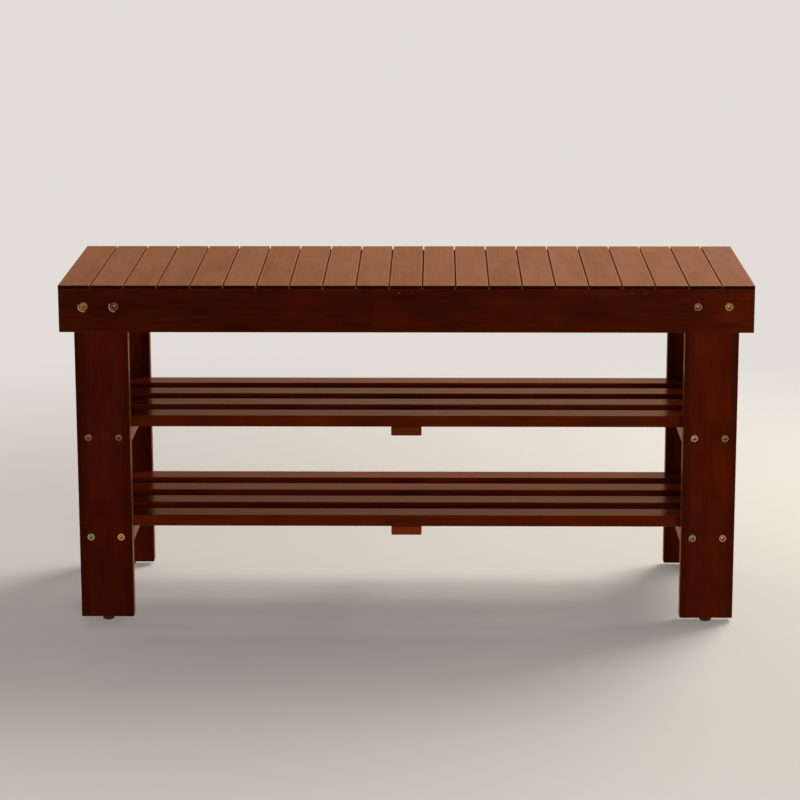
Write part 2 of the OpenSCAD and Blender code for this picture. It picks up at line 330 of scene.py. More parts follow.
def turn(obj, axis, angle):
    """Turns obj for good about an axis through the bench's middle."""
    obj.rotation_euler[axis] = angle
    settle(obj)


def named(obj, name):
    """Gives the object and its mesh a name."""
    obj.name = name
    obj.data.name = name
    return obj


def add_block(low, high):
    """A plain block between two corners."""
    bpy.ops.mesh.primitive_cube_add(size=1, location=(low + high) / 2, scale=high - low)
    return settle(bpy.context.object)


def add_rod_y(diameter, x, y_start, y_end, z, sides=ROUND_SIDES):
    """A rod along Y between two places."""
    bpy.ops.mesh.primitive_cylinder_add(
        vertices=sides, radius=diameter / 2, depth=abs(y_end - y_start),
        location=(x, (y_start + y_end) / 2, z), rotation=(math.pi / 2, 0, 0))
    return settle(bpy.context.object)


def add_rod_z(diameter, x, y, z_start, z_end):
    """An upright rod between two heights."""
    bpy.ops.mesh.primitive_cylinder_add(
        vertices=ROUND_SIDES, radius=diameter / 2, depth=z_end - z_start,
        location=(x, y, (z_start + z_end) / 2))
    return settle(bpy.context.object)


def add_cone_z(d_start, d_end, x, y, z_start, z_end):
    """An upright cone between two heights."""
    bpy.ops.mesh.primitive_cone_add(
        vertices=ROUND_SIDES, radius1=d_start / 2, radius2=d_end / 2, depth=z_end - z_start,
        location=(x, y, (z_start + z_end) / 2))
    return settle(bpy.context.object)


def edit(obj, kind="FACE", action="DESELECT"):
    """Enters edit mode on obj to work on faces or edges, with none of them or all selected."""
    only(obj)
    bpy.ops.object.mode_set(mode="EDIT")
    bpy.ops.mesh.select_mode(type=kind)
    bpy.ops.mesh.select_all(action=action)


def leave_edit():
    """Goes back to object mode."""
    bpy.ops.object.mode_set(mode="OBJECT")


def facing(axis, way):
    """A test for faces that look along an axis, the way of a sign."""
    return lambda face: face.normal[axis] * way > FACING


faces_front, faces_rear = facing(Y, -1), facing(Y, 1)
faces_down, faces_up = facing(Z, -1), facing(Z, 1)


def select_faces(obj, wanted):
    """Enters edit mode on obj with just the wanted faces selected."""
    edit(obj)
    leave_edit()
    for face in obj.data.polygons:
        face.select = bool(wanted(face))
    bpy.ops.object.mode_set(mode="EDIT")


def round_selected(radius, steps):
    """Rounds the selected edges and leaves edit mode."""
    bpy.ops.mesh.bevel(offset=radius, segments=steps, affect="EDGES", clamp_overlap=True)
    leave_edit()


def extrude(shift):
    """Extrudes the selected faces."""
    bpy.ops.mesh.extrude_region_move(TRANSFORM_OT_translate={"value": shift})


def ease_edges(obj, radius, steps=EASE_STEPS):
    """Rounds every sharp edge of obj."""
    edit(obj, "EDGE")
    bpy.ops.mesh.edges_select_sharp(sharpness=SHARP)
    round_selected(radius, steps)


def ease_face(obj, wanted, radius, steps=EASE_STEPS):
    """Rounds the edges of the wanted faces of obj."""
    select_faces(obj, wanted)
    bpy.ops.mesh.select_mode(type="EDGE")
    round_selected(radius, steps)


def push_face(obj, wanted, shift, scale=None, centre=(0, 0, 0)):
    """Extrudes the wanted faces by a shift, then sizes them about a centre if asked."""
    select_faces(obj, wanted)
    extrude(shift)
    if scale:
        bpy.ops.transform.resize(value=scale, center_override=centre)
    leave_edit()


def join_all(parts):
    """Joins several objects into the first one."""
    bpy.ops.object.select_all(action="DESELECT")
    for part in parts:
        part.select_set(True)
    bpy.context.view_layer.objects.active = parts[0]
    bpy.ops.object.join()
    return parts[0]


def apply_modifier(obj, kind, **settings):
    """Gives obj a modifier with some settings and applies it."""
    only(obj)
    bpy.ops.object.modifier_add(type=kind)
    modifier = obj.modifiers[-1]
    for name, value in settings.items():
        setattr(modifier, name, value)
    bpy.ops.object.modifier_apply(modifier=modifier.name)


def cut(obj, cutters):
    """Takes the cutters' shapes out of obj."""
    cutter = join_all(cutters)
    apply_modifier(obj, "BOOLEAN", operation="DIFFERENCE", solver="EXACT", object=cutter)
    bpy.data.objects.remove(cutter)


def clear_slivers(obj):
    """Dissolves the edges and faces without size that a cut along a curve leaves."""
    edit(obj, action="SELECT")
    bpy.ops.mesh.dissolve_degenerate(threshold=SLIVER)
    leave_edit()


def smooth(obj):
    """Smooth shading that keeps flat faces flat and sharp edges sharp."""
    only(obj)
    bpy.ops.object.shade_smooth_by_angle(angle=SHARP)
    apply_modifier(obj, "WEIGHTED_NORMAL", weight=100, keep_sharp=True)


def copy_moved(obj, shift=(0, 0, 0), half_turn=False):
    """A copy with its own mesh, turned half round the bench's upright axis if asked, then moved."""
    only(obj)
    bpy.ops.object.duplicate(linked=False)
    twin = bpy.context.object
    if half_turn:
        turn(twin, Z, math.pi)
    move(twin, shift)
    return twin


def mark(obj, name, values, kind="FLOAT"):
    """Gives every point of a mesh a number to carry, or a place."""
    numbers = obj.data.attributes.new(name, kind, "POINT")
    numbers.data.foreach_set("value" if kind == "FLOAT" else "vector", values)


def middle(node):
    """The middle of a CAD node's box."""
    low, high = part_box(node)
    return (low + high) / 2


# Small helpers for materials

def set_inputs(node, values):
    """Puts plain values on a node's sockets, by their names."""
    for name, value in values.items():
        node.inputs[name].default_value = value


def add_node(tree, kind, inputs=None, **settings):
    """A node of a kind, with some settings and with plain values on some sockets."""
    node = tree.nodes.new("ShaderNode" + kind)
    for name, value in settings.items():
        setattr(node, name, value)
    set_inputs(node, inputs or {})
    return node


def feed(tree, source, socket):
    """Feeds a socket from a node's output, or gives it a plain value."""
    if isinstance(source, bpy.types.NodeSocket):
        tree.links.new(source, socket)
    else:
        socket.default_value = source


def fed(tree, node, *sources):
    """The first output of a node, whose first sockets are fed."""
    for source, socket in zip(sources, node.inputs):
        feed(tree, source, socket)
    return node.outputs[0]


def calc(tree, operation, *values):
    """The result of a maths node."""
    return fed(tree, add_node(tree, "Math", operation=operation), *values)


def vector_calc(tree, operation, *values):
    """The result of a vector maths node."""
    return fed(tree, add_node(tree, "VectorMath", operation=operation), *values)


def noise(tree, place, scale, detail=3.0, roughness=0.5, distortion=0.0):
    """A noise texture, from 0 to 1 but mostly between 0.3 and 0.7."""
    node = add_node(tree, "TexNoise", {"Scale": scale, "Detail": detail, "Roughness": roughness,
                                       "Distortion": distortion})
    return fed(tree, node, place)


def spread(tree, value, low, high, to_low=0.0, to_high=1.0):
    """Maps a value from one range to another, with soft ends."""
    ranges = {"From Min": low, "From Max": high, "To Min": to_low, "To Max": to_high}
    return fed(tree, add_node(tree, "MapRange", ranges, interpolation_type="SMOOTHSTEP"), value)


def mix_colour(tree, factor, first, second, mode="MIX"):
    """Two colours mixed by a factor."""
    node = add_node(tree, "Mix", data_type="RGBA", blend_type=mode)
    # Its sockets 6 and 7 and its output 2 are the ones for colours
    for source, number in ((factor, 0), (first, 6), (second, 7)):
        feed(tree, source, node.inputs[number])
    return node.outputs[2]


def times(tree, colour, factor):
    """A colour times another one, or times a number."""
    return mix_colour(tree, 1.0, colour, factor, "MULTIPLY")


def darker(colour, share):
    """A colour with a share of its strength."""
    return tuple(part * share for part in colour[:3]) + (1,)


def combine(tree, values):
    """A vector of three numbers."""
    return fed(tree, add_node(tree, "CombineXYZ"), *values)


def parts_of(tree, vector):
    """The three numbers of a vector."""
    node = add_node(tree, "SeparateXYZ")
    feed(tree, vector, node.inputs["Vector"])
    return node.outputs


def choose(tree, factor, first, second):
    """Two shaders mixed by a factor."""
    return fed(tree, add_node(tree, "MixShader"), factor, first, second)


def read_attribute(tree, name, output="Fac"):
    """A value that a piece's mesh carries."""
    node = add_node(tree, "Attribute", attribute_type="GEOMETRY", attribute_name=name)
    return node.outputs[output]


def bump(tree, height, strength, distance):
    """A surface relief."""
    node = add_node(tree, "Bump", {"Strength": strength, "Distance": distance})
    feed(tree, height, node.inputs["Height"])
    return node.outputs["Normal"]


def new_material(name):
    """A material with one principled shader, its tree, that shader and a point's own place."""
    material = bpy.data.materials.new(name)
    material.use_nodes = True
    tree = material.node_tree
    tree.nodes.clear()
    output = add_node(tree, "OutputMaterial")
    shader = add_node(tree, "BsdfPrincipled")
    tree.links.new(shader.outputs["BSDF"], output.inputs["Surface"])
    return material, tree, shader, add_node(tree, "TexCoord").outputs["Object"]


def dress(tree, shader, colour, texture, roughness, relief, span=(0.3, 0.7)):
    """Feeds a shader its colour, and its roughness and relief from a texture.

    The roughness goes from its least to its most over the texture's span, and the relief has a
    strength and a depth."""
    feed(tree, colour, shader.inputs["Base Color"])
    feed(tree, spread(tree, texture, *span, *roughness), shader.inputs["Roughness"])
    feed(tree, bump(tree, texture, *relief), shader.inputs["Normal"])


# Wood

def edge_nearness(tree, place):
    """1 along the edges of a board and 0 away from them, from the board's own box.

    Near an edge the median of a point's distances to the faces is small."""
    half = read_attribute(tree, "board_half", "Vector")
    off_middle = vector_calc(tree, "ABSOLUTE", place)
    x, y, z = parts_of(tree, vector_calc(tree, "SUBTRACT", half, off_middle))
    median = calc(tree, "MAXIMUM", calc(tree, "MINIMUM", x, y),
                  calc(tree, "MINIMUM", calc(tree, "MAXIMUM", x, y), z))
    return spread(tree, median, *WORN_LIT_EDGE, 1.0, 0.0)


def wood(name, grain, dark, light, end, edge, roughness, glow,
         side=None, run=1.0, bands=0.0, rim=1.0, lit_tip=1.0):
    """Stained and lacquered wood whose grain runs along an axis.

    Where a side's colour is given, faces across X have it, darker than the top as painted shade in
    the gaps between the slats, and less lacquer, and the underside is as dark as the frame, without
    the seat's painted light. The figure runs longer by the factor run. Soft bands across the board
    vary its tone by the share bands, its long edges along X have the share rim of its tone, and
    its far end is lighter by the share of its tip argument, as painted light."""
    material, tree, shader, place = new_material(name)
    normal = parts_of(tree, add_node(tree, "TexCoord").outputs["Normal"])
    centre = read_attribute(tree, "board_centre", "Vector")
    place = vector_calc(tree, "SUBTRACT", place, centre)
    off_middle = parts_of(tree, place)
    half = parts_of(tree, read_attribute(tree, "board_half", "Vector"))
    seed = read_attribute(tree, "board_seed")

    def chance(draw):
        """A number from 0 to 1 of each board's own."""
        return calc(tree, "FRACT", calc(tree, "MULTIPLY", seed, draw))

    # Each board is two lengths of wood joined end to end, of a slightly different tone
    joint = calc(tree, "MULTIPLY", calc(tree, "SUBTRACT", chance(JOINT_DRAW), 0.5),
                 calc(tree, "MULTIPLY", half[grain], JOINT_SPREAD))
    beyond = calc(tree, "SUBTRACT", off_middle[grain], joint)
    second = calc(tree, "GREATER_THAN", beyond, 0.0)
    glue_line = spread(tree, calc(tree, "ABSOLUTE", beyond), *GLUE_LINE, GLUE_DARKNESS, 0.0)
    shift = [calc(tree, "MULTIPLY_ADD", second, by_length, calc(tree, "MULTIPLY", seed, by_seed))
             for by_seed, by_length in PATTERN_SHIFTS]
    shifted = vector_calc(tree, "ADD", place, combine(tree, shift))

    def pattern(kind, length=run):
        """One of the wood's patterns, which run long along the grain."""
        finer, *recipe = kind
        factors = [finer, finer, finer]
        factors[grain] = 1.0 / length
        return noise(tree, vector_calc(tree, "MULTIPLY", shifted, Vector(factors)), *recipe)

    # The stained wood, by its patterns
    cloud, streaks, fibres = pattern(CLOUD), pattern(STREAKS), pattern(FIBRES)
    pores = spread(tree, pattern(PORES), *PORE_SPAN)
    tone = calc(tree, "MULTIPLY_ADD", spread(tree, pattern(FIGURE), *FIGURE_SPAN), FIGURE_SHARE,
                calc(tree, "MULTIPLY", spread(tree, streaks, *STREAK_SPAN), STREAK_SHARE))
    tone = calc(tree, "MULTIPLY_ADD", cloud, CLOUD_SHARE, tone)
    tone = calc(tree, "MULTIPLY_ADD", fibres, FIBRE_SHARE, tone)
    colour = mix_colour(tree, tone, dark, light)

    # The board's own tone and hue, which drift a little over it
    length_tone = calc(tree, "MULTIPLY", calc(tree, "SUBTRACT", second, 0.5),
                       calc(tree, "SUBTRACT", chance(LENGTH_DRAW), 0.5))
    board_tone = calc(tree, "MULTIPLY_ADD", length_tone, LENGTH_TONE,
                      calc(tree, "MULTIPLY_ADD", chance(TONE_DRAW), TONE_SPREAD, TONE_LEAST))
    hue = [calc(tree, "MULTIPLY_ADD", chance(HUE_DRAW), most - least, least)
           for least, most in BOARD_HUES]
    board_colour = combine(tree, [calc(tree, "MULTIPLY", board_tone, part) for part in hue])
    colour = times(tree, colour, board_colour)
    drift = spread(tree, pattern(DRIFT, length=1.0), *SOFT_SPAN)
    colour = times(tree, colour, mix_colour(tree, drift, WARMER, COOLER))

    # Pores, the glue line, bands, darker rims, a far end lighter with painted light, and edges
    # lighter with wear and a painted highlight
    marks = calc(tree, "MAXIMUM", calc(tree, "MULTIPLY", pores, PORE_DARKNESS), glue_line)
    colour = mix_colour(tree, marks, colour, PORE)
    if bands:
        wave = spread(tree, pattern(BANDS), *SOFT_SPAN, 1 - bands, 1 + bands)
        colour = times(tree, colour, wave)
    if rim < 1.0:
        inward = calc(tree, "SUBTRACT", half[X], calc(tree, "ABSOLUTE", off_middle[X]))
        colour = times(tree, colour, spread(tree, inward, 0.0, RIM_WIDTH, rim, 1.0))
    # Painted light: the far end of an apron grows lighter, as if lit from that side
    if lit_tip != 1.0:
        outward = calc(tree, "DIVIDE", off_middle[grain], half[grain])
        colour = times(tree, colour, spread(tree, outward, LIT_TIP_START, 1.0, 1.0, lit_tip))
    worn_and_highlit = calc(tree, "MULTIPLY", edge_nearness(tree, place), spread(tree, cloud, *WEAR_HIGHLIGHT_PATCHES))
    colour = mix_colour(tree, calc(tree, "MULTIPLY", worn_and_highlit, EDGE_WEAR_AND_HIGHLIGHT), colour, edge)

    # Sides, darker as painted shade in the gaps between slats, ends, and the underside, without the
    # seat's painted light
    endwise = spread(tree, calc(tree, "ABSOLUTE", normal[grain]), *END_LOOK)
    dull = endwise
    if side:
        sideways = spread(tree, calc(tree, "ABSOLUTE", normal[X]), *SIDE_LOOK)
        colour = mix_colour(tree, sideways, colour, side)
        dull = calc(tree, "MAXIMUM", endwise, sideways)
    speckle = spread(tree, noise(tree, shifted, scale=900.0, detail=2.0), 0.4, 0.75, 0.0, 0.35)
    end_tone = calc(tree, "MULTIPLY_ADD", chance(END_DRAW), END_TONE_SPREAD, END_TONE_LEAST)
    end_colour = times(tree, mix_colour(tree, speckle, end, PORE), end_tone)
    colour = mix_colour(tree, endwise, colour, end_colour)
    # The seat's underside is multiplied back down to the frame's tone, without the seat's painted
    # light
    if side:
        below = spread(tree, normal[Z], *BELOW_LOOK, 1.0, 0.0)
        colour = mix_colour(tree, below, colour, SEAT_BELOW, "MULTIPLY")
    feed(tree, colour, shader.inputs["Base Color"])

    # Lacquer and relief
    matt = spread(tree, cloud, *FIGURE_SPAN, *(roughness + more for more in CLOUD_DULLNESS))
    matt = calc(tree, "MULTIPLY_ADD", fibres, FIBRE_DULLNESS, matt)
    matt = calc(tree, "MULTIPLY_ADD", dull, END_DULLNESS, matt)
    feed(tree, matt, shader.inputs["Roughness"])
    satin(shader, glow)
    relief = calc(tree, "MULTIPLY_ADD", streaks, STREAK_RELIEF,
                  calc(tree, "MULTIPLY", fibres, FIBRE_RELIEF))
    relief = calc(tree, "SUBTRACT", relief, calc(tree, "MULTIPLY", pores, PORE_RELIEF))
    feed(tree, bump(tree, relief, *WOOD_RELIEF), shader.inputs["Normal"])
    return material


def satin(shader, glow):
    """A faint warm reflection and a warm glow at grazing angles, as thin stained lacquer has."""
    set_inputs(shader, {"Specular IOR Level": 0.12, "Specular Tint": SATIN_TINT,
                        "Sheen Weight": glow, "Sheen Roughness": 0.3, "Sheen Tint": SATIN_GLOW})


def bare_wood():
    """Pale wood in the bored holes, where the stain hasn't reached, with some stain run in."""
    material, tree, shader, place = new_material("bare_wood")
    grit = noise(tree, place, scale=800.0, detail=3.0)
    runs = spread(tree, noise(tree, place, scale=260.0, detail=2.0), 0.5, 0.68, 0.0, 0.7)
    colour = mix_colour(tree, runs, mix_colour(tree, grit, BARE_DARK, BARE_LIGHT), LEG_LIGHT)
    dress(tree, shader, colour, grit, roughness=(0.6, 0.8), relief=(0.3, 0.1 * MM))
    satin(shader, 0.0)
    return material


# Metal, putty and plastic

def speckled_metal(name, colour, roughness):
    """Bright plated steel with fine scratches and duller patches."""
    material, tree, shader, place = new_material(name)
    patch = spread(tree, noise(tree, place, scale=420.0, detail=3.0), 0.35, 0.7)
    flattened = vector_calc(tree, "MULTIPLY", place, Vector((1, 1, 9)))
    scratch = noise(tree, flattened, scale=900.0, detail=2.0)
    dress(tree, shader, mix_colour(tree, patch, colour, darker(colour, 0.6)), scratch,
          roughness=(roughness - 0.08, roughness + 0.14), relief=(0.12, 0.05 * MM), span=(0.2, 0.8))
    shader.inputs["Metallic"].default_value = 1.0
    return material


def yellow_zinc():
    """Iridescent, slightly milky yellow zinc, rosy through gold to olive by each bolt's tint,
    darkened with grime and painted shade in the sockets, and with a pale painted glint at each
    socket's bottom.
    """
    material, tree, shader, place = new_material("yellow_zinc")
    drift = noise(tree, place, scale=230.0, detail=2.0, distortion=0.8)
    drift = spread(tree, drift, 0.3, 0.7, -TINT_DRIFT, TINT_DRIFT)
    ramp = add_node(tree, "ValToRGB")
    stops = ramp.color_ramp.elements
    stops[0].color, stops[1].color = ROSY_ZINC, OLIVE_ZINC
    for position, colour in ((0.36, PEACH_ZINC), (0.66, GOLD_ZINC)):
        stops.new(position).color = colour
    feed(tree, calc(tree, "ADD", read_attribute(tree, "plating"), drift), ramp.inputs["Fac"])
    # Random grime patches, and the heads' tarnish with the sockets' grime and painted shade
    grime_and_shade = spread(tree, noise(tree, place, scale=520.0, detail=3.0), 0.55, 0.75, 0.0, 0.45)
    grime_and_shade = calc(tree, "MAXIMUM", grime_and_shade, read_attribute(tree, "tarnish_and_shade"))
    plated = mix_colour(tree, grime_and_shade, ramp.outputs["Color"], ZINC_GRIME_AND_SHADE)
    painted_glint = calc(tree, "POWER", read_attribute(tree, "painted_glint"), GLINT_FALLOFF)
    brushed = noise(tree, place, scale=1100.0, detail=2.0)
    dress(tree, shader, mix_colour(tree, painted_glint, plated, ZINC_PAINTED_GLINT), brushed,
          roughness=(0.24, 0.42), relief=(0.1, 0.04 * MM))
    # Where the glint is painted, the zinc is not metallic, so that it stays a pale bright point
    metal = calc(tree, "SUBTRACT", 1.0, calc(tree, "MAXIMUM", painted_glint, MILKINESS))
    feed(tree, metal, shader.inputs["Metallic"])
    return material


def filler_putty():
    """Filler in the brad holes, stained like the wood, and pale in a few of them."""
    material, tree, shader, place = new_material("filler_putty")
    grit = noise(tree, place, scale=1500.0, detail=2.0)
    stained = mix_colour(tree, grit, APRON_DARK, APRON_LIGHT)
    pale = mix_colour(tree, grit, PUTTY_DULL, PUTTY_PALE)
    colour = mix_colour(tree, read_attribute(tree, "pale"), stained, pale)
    dress(tree, shader, colour, grit, roughness=(0.5, 0.7), relief=(0.3, 0.06 * MM))
    satin(shader, 0.1)
    return material


def glide_plastic():
    """Dark brown moulded plastic, scuffed paler where it meets the floor."""
    material, tree, shader, place = new_material("glide_plastic")
    grit = noise(tree, place, scale=700.0, detail=4.0)
    low = spread(tree, parts_of(tree, place)[Z], 0.0, 1.2 * MM, 1.0, 0.0)
    scuff = calc(tree, "MULTIPLY", low, spread(tree, grit, 0.4, 0.65))
    dress(tree, shader, mix_colour(tree, scuff, GLIDE_BROWN, GLIDE_SCUFF), grit,
          roughness=(0.42, 0.6), relief=(0.2, 0.08 * MM))
    shader.inputs["Specular IOR Level"].default_value = 0.3
    return material


# Camera, floor, backdrop and light

def place_camera():
    """A camera at the photograph's viewing angle, its frame moved a little by the lens shift."""
    image_width = 800
    focal_px = 2581.0
    eye = Vector((42.15, -3412.3, 1092.6)) * MM
    yaw, pitch, roll = -0.0152, 0.2054, -0.002
    ahead = Vector((math.sin(yaw) * math.cos(pitch), math.cos(yaw) * math.cos(pitch),
                    -math.sin(pitch)))
    level = Vector((math.cos(yaw), -math.sin(yaw), 0))
    upright = level.cross(ahead)
    right = math.cos(roll) * level + math.sin(roll) * upright
    up = math.cos(roll) * upright - math.sin(roll) * level
    data = bpy.data.cameras.new("photo_camera")
    data.sensor_width = 36
    data.lens = focal_px / image_width * data.sensor_width
    data.shift_y = -0.1
    data.clip_end = 100
    camera = bpy.data.objects.new("photo_camera", data)
    bpy.context.scene.collection.objects.link(camera)
    aim = Matrix((right, up, -ahead)).transposed()
    camera.matrix_world = Matrix.Translation(eye) @ aim.to_4x4()
    bpy.context.scene.camera = camera


def seen_directly(tree):
    """1 for what the camera, reflections and clear things see, 0 for the light that things get."""
    path = add_node(tree, "LightPath")
    camera, glossy, clear = (path.outputs[f"Is {kind} Ray"]
                             for kind in ("Camera", "Glossy", "Transmission"))
    return calc(tree, "MAXIMUM", camera, calc(tree, "MAXIMUM", glossy, clear))


def floor_material():
    """Plain pale floor with a faint unevenness, which fades into the backdrop's colour far out."""
    material, tree, shader, place = new_material("pale_floor")
    patch = noise(tree, place, scale=1.7, detail=4.0)
    colour = mix_colour(tree, patch, darker(FLOOR_PALE, 0.96), FLOOR_PALE)
    feed(tree, colour, shader.inputs["Base Color"])
    set_inputs(shader, {"Roughness": 0.75, "Specular IOR Level": 0.2})

    length = add_node(tree, "VectorMath", operation="LENGTH")
    feed(tree, place, length.inputs[0])
    path = add_node(tree, "LightPath")
    fade = spread(tree, length.outputs["Value"], *FADE_SPAN, NEAR_FADE, 1.0)
    fade = calc(tree, "MAXIMUM", fade, path.outputs["Is Glossy Ray"])
    seen = mix_colour(tree, path.outputs["Is Camera Ray"], MIRRORED_FLOOR, BACKDROP_PALE)
    glow = fed(tree, add_node(tree, "Emission"), seen, 1.0)
    both = choose(tree, calc(tree, "MULTIPLY", fade, seen_directly(tree)),
                  shader.outputs["BSDF"], glow)
    tree.links.new(both, tree.nodes["Material Output"].inputs["Surface"])
    return material


def lay_floor():
    """A wide floor under the glides."""
    bpy.ops.mesh.primitive_plane_add(size=60, location=(0, 0, cad_low.z))
    floor = named(bpy.context.object, "studio_floor")
    settle(floor)
    floor.data.materials.append(floor_material())


def light_world():
    """A pale backdrop for what the camera and reflections see, and a softer light for the rest."""
    world = bpy.data.worlds.new("studio")
    bpy.context.scene.world = world
    world.use_nodes = True
    tree = world.node_tree
    tree.nodes.clear()
    x, y, z = parts_of(tree, add_node(tree, "TexCoord").outputs["Generated"])
    rear = spread(tree, y, *FRONT_TO_REAR, FRONT_SHARE, 1.0)
    height = spread(tree, z, *LOW_TO_HIGH)
    lean = spread(tree, x, *LEFT_TO_RIGHT, *MIRRORED_STRENGTHS)

    def background(colour, strength):
        """A world background of a colour and a strength."""
        return fed(tree, add_node(tree, "Background"), colour, strength)

    ambient = background(AMBIENT, calc(tree, "MULTIPLY", rear, AMBIENT_STRENGTH))
    mirrored = background(mix_colour(tree, height, MIRRORED, MIRRORED_HIGH),
                          calc(tree, "MULTIPLY", rear, lean))
    camera = add_node(tree, "LightPath").outputs["Is Camera Ray"]
    seen = choose(tree, camera, mirrored, background(BACKDROP_PALE, 1.0))
    both = choose(tree, seen_directly(tree), ambient, seen)
    tree.links.new(both, add_node(tree, "OutputWorld").inputs["Surface"])


def add_lamp(name, place, target, size, power, colour, mirrored=False):
    """A square soft lamp that faces a target, and that glossy surfaces may mirror."""
    data = bpy.data.lights.new(name, "AREA")
    data.shape = "SQUARE"
    data.size = size
    data.energy = power
    data.color = colour
    lamp = bpy.data.objects.new(name, data)
    bpy.context.scene.collection.objects.link(lamp)
    lamp.location = place
    lamp.visible_camera = False
    lamp.visible_glossy = mirrored
    lamp.rotation_mode = "QUATERNION"
    lamp.rotation_quaternion = (Vector(target) - Vector(place)).to_track_quat("-Z", "Y")


def hang_lamps():
    """A key lamp behind and to the right, two softer ones in front and a low one from the right.

    Only the key lamp shows in glossy surfaces."""
    add_lamp("key_lamp", (1.65, 1.5, 2.1), (0, 0, 0.3), size=1.5, power=87,
             colour=(1.0, 0.95, 0.88), mirrored=True)
    add_lamp("fill_lamp", (0.55, -3.2, 0.9), (0, 0, 0.25), size=0.8, power=24.5,
             colour=(1.0, 0.95, 0.9))
    add_lamp("low_lamp", (1.2, -2.6, 0.4), (0, 0, 0.2), size=0.7, power=17,
             colour=(1.0, 0.93, 0.86))
    add_lamp("side_lamp", (2.4, 0.6, 0.6), (0, 0, 0.25), size=0.6, power=10,
             colour=(1.0, 0.90, 0.80))


# Boards

seeds = []


def finish_board(board, node, material):
    """Marks a board with its own box and seed, paints it and lets it stand for its node."""
    low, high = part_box(node)
    mesh = board.data
    count = len(mesh.vertices)
    seeds.append((FIRST_SEED + SEED_STEP * len(seeds)) % 1.0)
    mark(board, "board_centre", list((low + high) / 2) * count, "FLOAT_VECTOR")
    mark(board, "board_half", list((high - low) / 2) * count, "FLOAT_VECTOR")
    mark(board, "board_seed", [seeds[-1]] * count)
    if not mesh.materials:
        mesh.materials.append(material)
    named(board, node + "_board")
    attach(board, "root")
    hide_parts(node)


def recess_cutter(x, face_y, z, depth, flare, drift_x=0.0, drift_z=0.0):
    """A cutter for a bolt head's round recess, whose flared mouth may sit off centre."""
    cutter = add_rod_y(RECESS_D, x, face_y + flare, face_y + depth, z)
    wider = 1 + 2 * flare / RECESS_D
    push_face(cutter, faces_front, (drift_x, -flare, drift_z), (wider, 1, wider),
              (x + drift_x, face_y, z + drift_z))
    push_face(cutter, faces_front, (0, -OVER, 0))
    return cutter


def paint_inside(obj, cutters, outside, inside, bare=lambda face: True):
    """Gives obj its paint, and lets the cutters' bare faces leave another one in the holes."""
    for piece in [obj] + cutters:
        piece.data.materials.append(outside)
        piece.data.materials.append(inside)
    for cutter in cutters:
        for face in cutter.data.polygons:
            face.material_index = int(bare(face))


def bolt_pair(x):
    """Where a joint's two bolts are along X, from the joint's middle."""
    return x - BOLT_SPACING / 2, x + BOLT_SPACING / 2


def brad_places():
    """Each brad's key, which is its slat's number and the side of its middle, and its X and Z."""
    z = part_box(SLAT_NAMES[0])[1].z - BRAD_DROP
    return [((number, side), middle(node).x + side * BRAD_SPACING / 2, z)
            for number, node in enumerate(SLAT_NAMES, start=1) for side in (-1, 1)]


def make_seat(material):
    """The seat's slats: full thickness between the aprons, with a thinner lip over each apron."""
    low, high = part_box(SLAT_NAMES[0])
    apron_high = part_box("front_apron")[1]
    inner_y, lip_z = apron_high.y, apron_high.z
    slat = add_block(Vector((low.x, inner_y, low.z)), Vector((high.x, -inner_y, high.z)))
    edit(slat, action="SELECT")
    bpy.ops.mesh.bisect(plane_co=(0, 0, lip_z), plane_no=(0, 0, 1))
    leave_edit()
    for way in (-1, 1):
        outward = facing(Y, way)
        select_faces(slat, lambda face: outward(face) and face.center.z > lip_z)
        extrude((0, way * (high.y + inner_y), 0))
        leave_edit()
    ease_edges(slat, SEAT_EASE)
    smooth(slat)
    for node in SLAT_NAMES:
        twin = copy_moved(slat, Vector((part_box(node)[0].x - low.x, 0, 0)))
        finish_board(twin, node, material)
    bpy.data.objects.remove(slat)


def make_aprons(material, bare):
    """The front and rear aprons, with recesses for bolt heads and for the filled brad holes."""
    low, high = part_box("front_apron")
    apron = add_block(low, high)
    ease_edges(apron, APRON_EASE)
    bolt_z = middle("seat_rail_left").z
    bolt_xs = [x for side in SIDES for x in bolt_pair(middle("leg_front_" + side).x)]
    cutters = [recess_cutter(x, low.y, bolt_z, APRON_HEAD_SINK + HEAD_H, *mouth)
               for x, mouth in zip(bolt_xs, APRON_MOUTHS)]
    cutters += [add_rod_y(BRAD_HOLE_D, x, low.y - OVER, low.y + BRAD_HOLE_DEPTH, z,
                          SMALL_ROUND_SIDES) for _, x, z in brad_places()]
    paint_inside(apron, cutters, material, bare,
                 lambda face: TORN_LEAST < face.normal.y < TORN_MOST)
    cut(apron, cutters)
    smooth(apron)
    rear = copy_moved(apron, half_turn=True)
    finish_board(apron, "front_apron", material)
    finish_board(rear, "rear_apron", material)


def make_legs(material):
    """The four legs, with recesses for the bolt heads of both shelves."""
    low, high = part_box("leg_front_left")
    x = (low.x + high.x) / 2
    leg = add_block(low, high)
    ease_edges(leg, BOARD_EASE)
    cut(leg, [recess_cutter(bolt_x, low.y, middle(level + "_rail_left").z,
                            LEG_HEAD_SINK + HEAD_H, LEG_FLARE)
              for level in LEVELS for bolt_x in bolt_pair(x)])
    smooth(leg)
    across = Vector((-2 * x, 0, 0))
    front_right = copy_moved(leg, across)
    rear_right = copy_moved(leg, half_turn=True)
    rear_left = copy_moved(rear_right, -across)
    for board, node in ((leg, "front_left"), (front_right, "front_right"),
                        (rear_left, "rear_left"), (rear_right, "rear_right")):
        finish_board(board, "leg_" + node, material)


def make_board(node, material, ease, cutters=(), bare=None):
    """An eased board in its node's place, with holes of bare wood where there are cutters."""
    board = add_block(*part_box(node))
    ease_edges(board, ease)
    if cutters:
        paint_inside(board, cutters, material, bare)
        cut(board, cutters)
    smooth(board)
    finish_board(board, node, material)


